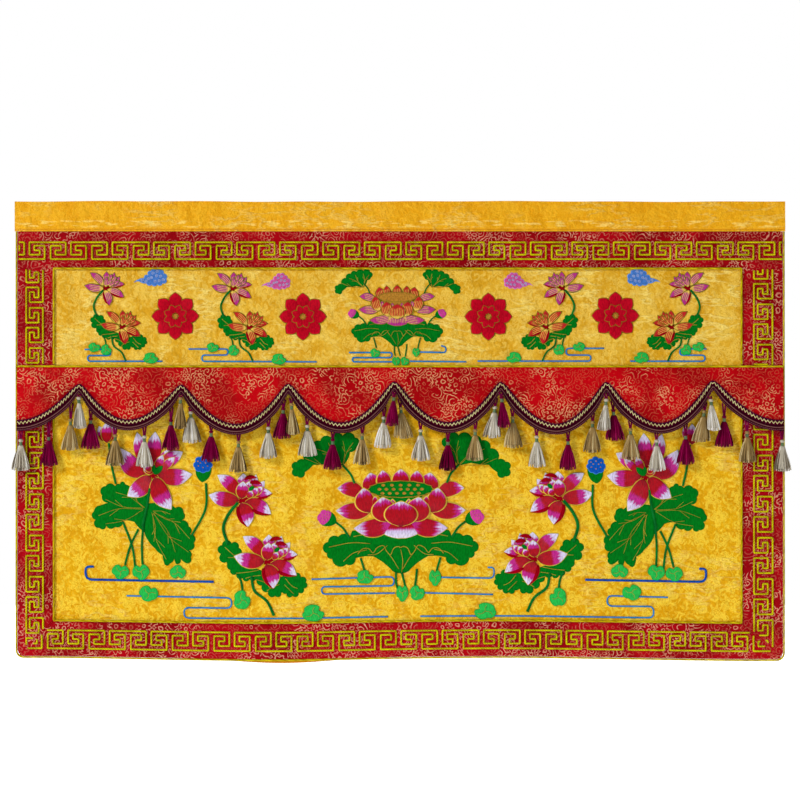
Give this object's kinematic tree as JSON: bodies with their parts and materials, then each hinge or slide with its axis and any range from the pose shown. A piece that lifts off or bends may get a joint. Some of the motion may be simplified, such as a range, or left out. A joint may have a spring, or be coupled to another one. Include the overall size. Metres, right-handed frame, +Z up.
{
  "type": "altar frontal",
  "caption": "Flat hanging of yellow and red brocade with embroidered lotus flowers, a scalloped valance edged in braid and a row of tassels",
  "frame": {"origin": "middle of the top edge, in the middle of the panels' thickness", "axes": "+X along the width to the viewer's right, +Z up, the face towards -Y"},
  "size_m": [1.5199, 0.0378, 0.9013],
  "materials": {
    "heading_brocade": "golden yellow brocade with a soft satin sheen",
    "red_brocade": "crimson satin brocade with fine gold-pink figured lines",
    "yellow_damask": "yellow satin damask with tone-on-tone blossoms",
    "olive_piping": "olive-gold satin piping",
    "lining_cotton": "plain orange-yellow cotton",
    "braid": "woven maroon braid with a cream zigzag cord",
    "tassel_silver": "silver-white rayon thread",
    "tassel_maroon": "maroon rayon thread",
    "tassel_gold": "dull gold rayon thread"
  },
  "bodies": {
    "root": {"heading_band": "heading_brocade", "top_border": "red_brocade", "upper_border_left": "red_brocade", "upper_panel": "yellow_damask", "upper_border_right": "red_brocade", "lower_panel": "yellow_damask", "lower_border_left": "red_brocade", "lower_border_right": "red_brocade", "bottom_border": "red_brocade", "lining": "lining_cotton", "seam_piping": "olive_piping", "upper_panel_piping": "olive_piping", "lower_panel_piping": "olive_piping", "outer_piping": "olive_piping", "valance": "red_brocade", "braid": "braid", "tassel_01": "tassel_silver", "tassel_02": "tassel_maroon", "tassel_03": "tassel_gold", "tassel_04": "tassel_silver", "tassel_05": "tassel_maroon", "tassel_06": "tassel_gold", "tassel_07": "tassel_silver", "tassel_08": "tassel_maroon", "tassel_09": "tassel_gold", "tassel_10": "tassel_silver", "tassel_11": "tassel_maroon", "tassel_12": "tassel_gold", "tassel_13": "tassel_silver", "tassel_14": "tassel_maroon", "tassel_15": "tassel_gold", "tassel_16": "tassel_silver", "tassel_17": "tassel_maroon", "tassel_18": "tassel_gold", "tassel_19": "tassel_silver", "tassel_20": "tassel_maroon", "tassel_21": "tassel_gold", "tassel_22": "tassel_silver", "tassel_23": "tassel_maroon", "tassel_24": "tassel_gold", "tassel_25": "tassel_silver", "tassel_26": "tassel_maroon", "tassel_27": "tassel_gold", "tassel_28": "tassel_silver", "tassel_29": "tassel_maroon", "tassel_30": "tassel_gold", "tassel_31": "tassel_silver", "tassel_32": "tassel_maroon", "tassel_33": "tassel_gold", "tassel_34": "tassel_silver", "tassel_35": "tassel_maroon", "tassel_36": "tassel_gold", "tassel_37": "tassel_silver", "tassel_38": "tassel_maroon", "tassel_39": "tassel_gold", "tassel_40": "tassel_silver"}
  },
  "joints": []
}
